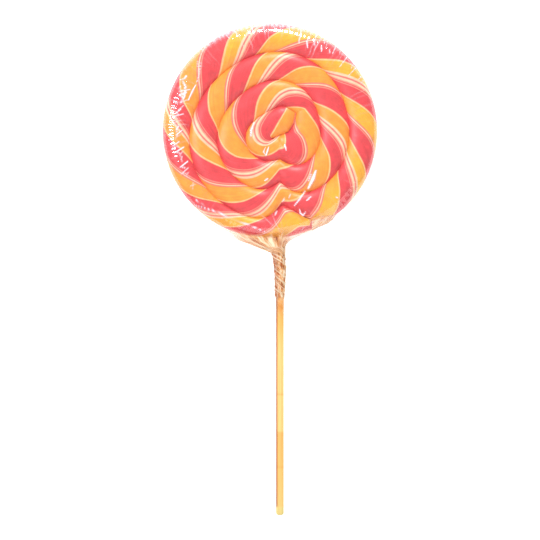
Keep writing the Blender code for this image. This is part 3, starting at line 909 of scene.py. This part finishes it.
def gathered_film(look):
    """Cellophane in many layers: milky tan, with painted brown shade in the folds lengthwise and painted
    highlights on creases round them.
    """
    material, tree = fresh_material("cellophane, gathered")
    place = add(tree, "ShaderNodeUVMap", uv_map="twist")
    gather = add(tree, "ShaderNodeMapping", {"Vector": (place, "UV"), "Scale": GATHER})
    streaks = add(
        tree, "ShaderNodeTexNoise",
        {"Vector": (gather, "Vector"), "Scale": 1.0, "Detail": 4.0, "Roughness": 0.65},
    )
    # On the neck the folds lie almost along the stick.
    spot = add(tree, "ShaderNodeTexCoord")
    spot_parts = add(tree, "ShaderNodeSeparateXYZ", {"Vector": (spot, "Object")})
    fold_scale = (1.0 / FOLD_WIDTH, 1.0 / FOLD_LENGTH, 1.0 / FOLD_WIDTH)
    lengthwise = add(tree, "ShaderNodeMapping", {"Vector": (spot, "Object"), "Scale": fold_scale})
    marks = add(tree, "ShaderNodeTexNoise", {"Vector": (lengthwise, "Vector"), "Scale": 1.0, "Detail": 2.0})
    on_neck = add(
        tree, "ShaderNodeMapRange",
        {"Value": (spot_parts, "Y"), "From Min": KNOT.y, "From Max": KNOT.y - 4.0 * MM},
    )
    folds = add(tree, "ShaderNodeMix", {0: (on_neck, "Result"), 2: (streaks, "Fac"), 3: (marks, "Fac")})
    # Painted shade and highlight: the folds darker brown in their hollows and lighter on their crests.
    tones = add(tree, "ShaderNodeValToRGB", {"Fac": (folds, "Result")})
    ramp = tones.color_ramp
    ramp.elements[0].position = 0.4
    ramp.elements[0].color = look.fold_shade
    ramp.elements[1].position = 0.6
    ramp.elements[1].color = look.crest_highlight
    ramp.elements.new(0.48).color = look.body_shade
    # Painted shade down the left of the neck and in the deep fold above the knot.
    shade = add(tree, "ShaderNodeAttribute", attribute_name="shade")
    shaded = add(
        tree, "ShaderNodeMixRGB",
        {"Fac": (shade, "Fac"), "Color1": (tones, "Color"), "Color2": look.fold_shade},
    )
    # Painted highlights: lines winding round the neck.
    winding = add(tree, "ShaderNodeMapping", {"Vector": (place, "UV"), "Scale": WINDING})
    wound = add(tree, "ShaderNodeTexNoise", {"Vector": (winding, "Vector"), "Scale": 1.0, "Detail": 1.0})
    line = add(
        tree, "ShaderNodeMapRange",
        {"Value": (wound, "Fac"), "From Min": 0.57, "From Max": 0.63, "To Min": 0.0, "To Max": 0.85},
    )
    # Painted highlights along the bright folds.
    bright = add(tree, "ShaderNodeAttribute", attribute_name="bright")
    lit = add(
        tree, "ShaderNodeMath", {0: (line, "Result"), 1: (on_neck, "Result"), 2: (bright, "Fac")},
        operation="MULTIPLY_ADD", use_clamp=True,
    )
    lined = add(
        tree, "ShaderNodeMixRGB",
        {"Fac": (lit, "Value"), "Color1": (shaded, "Color"), "Color2": look.crest_highlight},
    )
    bump = add(tree, "ShaderNodeBump", {"Height": (folds, "Result"), "Strength": 0.6, "Distance": 0.0006})
    milky = add(
        tree, "ShaderNodeBsdfPrincipled",
        {"Base Color": (lined, "Color"), "Roughness": 0.25, "IOR": 1.5, "Normal": (bump, "Normal")},
    )
    through = add(tree, "ShaderNodeBsdfTransparent")
    layers = add(tree, "ShaderNodeAttribute", attribute_name="layers")
    uneven = add(
        tree, "ShaderNodeMapRange",
        {"Value": (streaks, "Fac"), "From Min": 0.35, "From Max": 0.6, "To Min": 0.55, "To Max": 1.1},
    )
    cover = add(
        tree, "ShaderNodeMath", {0: (layers, "Fac"), 1: (uneven, "Result")},
        operation="MULTIPLY", use_clamp=True,
    )
    mixed = add(tree, "ShaderNodeMixShader", {0: (cover, "Value"), 1: (through, "BSDF"), 2: (milky, "BSDF")})
    add(tree, "ShaderNodeOutputMaterial", {"Surface": (mixed, "Shader")})
    return material


# Each ring of the gather, in millimetres: its distance along -Y, its reach to -X and +X of the stick
# and its half thickness. The first rings lie inside the candy, and the film comes out over its rim.
NECK_RINGS = (
    (46.0, 43.0, 32.0, 5.6), (50.0, 40.0, 29.0, 6.2), (52.0, 38.2, 26.5, 6.6), (54.0, 35.2, 21.6, 6.8),
    (56.3, 31.5, 17.4, 6.6), (58.3, 28.0, 12.6, 6.2), (59.8, 25.6, 9.4, 5.8), (61.7, 22.3, 5.2, 5.0),
    (63.5, 17.0, 3.5, 4.4), (65.3, 12.6, 2.8, 4.0), (66.8, 8.8, 2.7, 3.7), (68.5, 4.7, 2.7, 3.5),
    (70.3, 4.1, 2.8, 3.4), (73.5, 3.6, 3.0, 3.3), (77.4, 3.2, 3.4, 3.2), (81.0, 3.0, 3.3, 3.1),
    (85.8, 2.9, 2.95, 3.0), (90.0, 2.8, 2.8, 2.9), (92.0, 2.6, 2.7, 2.7), (94.5, 2.35, 2.45, 2.45),
    (107.0, 2.25, 2.25, 2.25),
)
NECK_BELOW = 5.4 * MM
NECK_ROUND = 0.75
TWIST_FROM = 65.0 * MM
TWIST_PER_MM = 26.0
KNOT = Vector((STICK_X, -66.0 * MM, 0.0))
WEB_FROM_X = 23.2 * MM
WEB_TOP_Y = -50.4 * MM
WEB_SLOPE = 0.31
WEB_COVER = 0.7
LOOSE_END_Y = -93.0 * MM

# How much the film covers: on the neck, at its loose end, right of the stick, left of it (at least, and
# how much more at most) and in a bright fold.
NECK_COVER = 0.95
END_COVER = 0.35
RIGHT_COVER = 0.18
LEFT_COVER = (0.12, 0.75)
FOLD_COVER = 0.9

# From where to where that changes: down the loose end, away from the knot, and across the left side.
END_FADE = (95.0 * MM, 107.0 * MM)
KNOT_FADE = (2.5 * MM, 12.0 * MM)
LEFT_FADE_X = (-26.0 * MM, -8.0 * MM)

# The painted shade in the deep fold above the knot: its middle and its half sizes.
SHADED_POCKET = (5.6 * MM, -63.2 * MM)
SHADED_POCKET_SIZE = (1.6 * MM, 2.8 * MM)


def ring_at(along):
    """The reaches and the half thickness of the gather at a distance down the stick."""
    along = along / MM
    for before, after in zip(NECK_RINGS, NECK_RINGS[1:]):
        if along <= after[0]:
            share = (along - before[0]) / (after[0] - before[0])
            return [(low + (high - low) * share) * MM for low, high in zip(before[1:], after[1:])]
    return [size * MM for size in NECK_RINGS[-1][1:]]


def wound_at(along):
    """How many turns the gather has been twisted by a distance down the stick."""
    return TWIST_PER_MM * max(along - TWIST_FROM, 0.0) / MM / 360.0


def twist_point(turn, along):
    """A point of the gathered film, with folds that wind down the stick."""
    left, right, thick = ring_at(along)
    strand = math.tau * (turn + wound_at(along))
    loose = 1.0 - smooth(along, -LOOSE_END_Y - 2.0 * MM, -LOOSE_END_Y + 2.0 * MM)
    out = heading(360.0 * turn)
    folds = noise.noise(Vector((4.0 * math.cos(strand), 4.0 * math.sin(strand), 30.0 * along)))
    fine = noise.noise(Vector((11.0 * math.cos(strand), 11.0 * math.sin(strand), 60.0 * along)))
    relief = (0.1 + 0.9 * loose) * MM * (0.7 * folds + 0.4 * fine)
    reach = right if out.x > 0.0 else left
    half = thick if out.y > 0.0 else min(thick, NECK_BELOW)
    level = abs(out.y) ** NECK_ROUND * (1.0 if out.y > 0.0 else -1.0)
    relief = relief * (0.5 if along < TWIST_FROM else 1.0)
    height = AXIS_HEIGHT + half * level + relief * out.y
    return Vector((STICK_X + reach * out.x + relief * out.x, -along, height))


# The folds that are painted as bright lines of highlight in the film beside the rim, as runs in the form
# that near_runs takes.
FOLD_GLINTS = (
    (-33.5, -51.4, -18.9, -58.1, 0.4, 0.4, 0.9), (-18.9, -58.1, -7.9, -63.0, 0.4, 0.4, 0.9),
    (-7.9, -63.0, 0.6, -67.2, 0.4, 0.4, 0.9), (-14.0, -58.6, 1.5, -64.6, 0.35, 0.35, 0.6),
    (23.8, -53.6, 34.8, -46.9, 0.45, 0.45, 0.8), (24.6, -51.0, 34.0, -45.0, 0.4, 0.4, 0.6),
    (27.4, -50.4, 30.2, -44.5, 0.35, 0.35, 0.5), (10.0, -61.6, 23.0, -54.8, 0.35, 0.35, 0.5),
)


def film_layers(point, fold):
    """How much the gathered film covers at a place: clear where it is one layer, milky where it is many."""
    if point.y < LOOSE_END_Y:
        return END_COVER * (1.0 - smooth(-point.y, *END_FADE))
    if point.y < KNOT.y:
        return NECK_COVER
    away = (Vector((point.x, point.y, 0.0)) - KNOT).length
    near = NECK_COVER * (1.0 - smooth(away, *KNOT_FADE))
    beyond = smooth(math.hypot(point.x, point.y), DISC_RADIUS - 1.5 * MM, DISC_RADIUS + 0.5 * MM)
    if point.x > STICK_X:
        beside = beyond * RIGHT_COVER
    else:
        beside = beyond * (LEFT_COVER[0] + LEFT_COVER[1] * smooth(point.x, *LEFT_FADE_X))
    below = WEB_TOP_Y + WEB_SLOPE * (point.x - WEB_FROM_X) - point.y
    web = WEB_COVER * smooth(point.x, WEB_FROM_X, WEB_FROM_X + 1.0 * MM) * smooth(below, -1.0 * MM, 1.0 * MM)
    return max(near, beside, web, FOLD_COVER * fold)


def film_shade(point):
    """How much painted shade the gathered film has at a place: down the left of the neck and in one deep
    fold.
    """
    side = (point.x - STICK_X) / (3.0 * MM)
    left = 0.7 * (1.0 - smooth(side, -0.9, 0.35)) * smooth(-point.y, 66.0 * MM, 70.0 * MM)
    if point.z < AXIS_HEIGHT:
        return left
    pocket_x = (point.x - SHADED_POCKET[0]) / SHADED_POCKET_SIZE[0]
    pocket_y = (point.y - SHADED_POCKET[1]) / SHADED_POCKET_SIZE[1]
    return max(left, 0.8 * math.exp(-(pocket_x**2) - pocket_y**2))


class LollipopMakeTwist(bpy.types.Operator):
    """Gathers the film and twists it round the stick"""

    bl_idname = "lollipop.twist"
    bl_label = "Twisted film"
    rings: IntProperty(name="Rings", description="Steps along the stick", default=200, min=12)
    sides: IntProperty(name="Sides", description="Steps round the stick", default=160, min=12)

    def execute(self, context):
        look = context.scene.lollipop_film
        first = NECK_RINGS[0][0] * MM
        last = NECK_RINGS[-1][0] * MM
        bm = bmesh.new()
        bmesh.ops.create_grid(bm, x_segments=self.sides, y_segments=self.rings, size=0.5)
        uv = bm.loops.layers.uv.new("twist")
        layers = bm.verts.layers.float.new("layers")
        shade = bm.verts.layers.float.new("shade")
        bright = bm.verts.layers.float.new("bright")
        for face in bm.faces:
            for loop in face.loops:
                along = first + (loop.vert.co.y + 0.5) * (last - first)
                loop[uv].uv = (loop.vert.co.x + 0.5 + wound_at(along), (along - first) / (last - first))
        for vert in bm.verts:
            vert.co = twist_point(vert.co.x + 0.5, first + (vert.co.y + 0.5) * (last - first))
            # Painted highlight along the bright folds, then painted shade down the left of the neck and in
            # the deep fold.
            vert[bright] = near_runs(vert.co.x, vert.co.y, FOLD_GLINTS) if vert.co.z > AXIS_HEIGHT else 0.0
            vert[layers] = film_layers(vert.co, vert[bright])
            vert[shade] = film_shade(vert.co)
        bmesh.ops.remove_doubles(bm, verts=bm.verts, dist=MERGE)
        ends = [edge for edge in bm.edges if edge.is_boundary]
        bmesh.ops.holes_fill(bm, edges=ends, sides=0)
        bmesh.ops.recalc_face_normals(bm, faces=bm.faces)
        piece = finish_piece("film_twist", bm, gathered_film(look), "film_neck")
        return {"FINISHED"}


def lit_acrylic():
    """Opal acrylic lit from below: an even white that takes the shadows away."""
    material, tree = fresh_material("opal acrylic, lit")
    shader = add(
        tree, "ShaderNodeBsdfPrincipled",
        {
            "Base Color": (0.9, 0.9, 0.9, 1.0), "Roughness": 0.6, "Emission Color": (1.0, 1.0, 1.0, 1.0),
            "Emission Strength": 0.6,
        },
    )
    add(tree, "ShaderNodeOutputMaterial", {"Surface": (shader, "BSDF")})
    return material


def add_softbox(name, place, target, size, power, colour=(1.0, 1.0, 1.0)):
    lamp = bpy.data.lights.new(name, "AREA")
    lamp.shape = "RECTANGLE"
    lamp.size, lamp.size_y = size
    lamp.energy = power
    lamp.color = colour
    item = bpy.data.objects.new(name, lamp)
    item.location = place
    item.rotation_euler = (Vector(target) - Vector(place)).to_track_quat("-Z", "Y").to_euler()
    bpy.context.scene.collection.objects.link(item)


class LollipopMakeStage(bpy.types.Operator):
    """Sets the floor, the soft lights and the camera that looks straight down"""

    bl_idname = "lollipop.stage"
    bl_label = "Stage"

    def execute(self, context):
        look = context.scene.lollipop_stage
        scene = context.scene
        bm = bmesh.new()
        bmesh.ops.create_grid(bm, x_segments=1, y_segments=1, size=4.0)
        mesh = bpy.data.meshes.new("floor")
        bm.to_mesh(mesh)
        bm.free()
        mesh.materials.append(lit_acrylic())
        floor = bpy.data.objects.new("floor", mesh)
        scene.collection.objects.link(floor)
        world = bpy.data.worlds.new("studio")
        world.use_nodes = True
        world.node_tree.nodes["Background"].inputs["Color"].default_value = (1.0, 1.0, 1.0, 1.0)
        world.node_tree.nodes["Background"].inputs["Strength"].default_value = 0.4
        scene.world = world
        scene.view_settings.view_transform = "Standard"
        centre = Vector((0.0, look.centre_y, 0.0))
        add_softbox("top window", (0.1, 1.25, 0.95), (0.0, 0.0, 0.0), (0.5, 0.5), 21.0)
        add_softbox("left window", (-0.95, 0.1, 1.05), centre, (0.2, 0.9), 11.0, (1.0, 0.9, 1.0))
        add_softbox("low softbox", (0.35, -1.25, 0.75), centre, (1.8, 1.6), 11.0)
        camera = bpy.data.cameras.new("camera")
        camera.sensor_width = 36.0
        camera.lens = camera.sensor_width * look.distance / look.view_width
        camera.clip_end = 20.0
        eye = bpy.data.objects.new("camera", camera)
        eye.location = centre + Vector((0.0, 0.0, look.distance))
        scene.collection.objects.link(eye)
        scene.camera = eye
        return {"FINISHED"}


class LollipopPanel(bpy.types.Panel):
    """Lists the pieces of the lollipop"""

    bl_idname = "LOLLIPOP_PT_pieces"
    bl_label = "Swirl lollipop"
    bl_space_type = "VIEW_3D"
    bl_region_type = "UI"
    bl_category = "Lollipop"

    def draw(self, context):
        for operator in OPERATORS:
            self.layout.operator(operator.bl_idname)


GROUPS = {
    "lollipop_candy": LollipopCandy,
    "lollipop_film": LollipopFilm,
    "lollipop_stick": LollipopStick,
    "lollipop_stage": LollipopStage,
}
OPERATORS = (LollipopMakeCandy, LollipopMakeStick, LollipopMakeWrap, LollipopMakeTwist, LollipopMakeStage)


def register():
    for kind in (*GROUPS.values(), *OPERATORS, LollipopPanel):
        bpy.utils.register_class(kind)
    for name, kind in GROUPS.items():
        setattr(bpy.types.Scene, name, PointerProperty(type=kind))


def unregister():
    for name in GROUPS:
        delattr(bpy.types.Scene, name)
    for kind in reversed((*GROUPS.values(), *OPERATORS, LollipopPanel)):
        bpy.utils.unregister_class(kind)


def main():
    register()
    bpy.ops.lollipop.candy()
    bpy.ops.lollipop.stick()
    bpy.ops.lollipop.wrap()
    bpy.ops.lollipop.twist()
    bpy.ops.lollipop.stage()


if __name__ == "__main__":
    main()
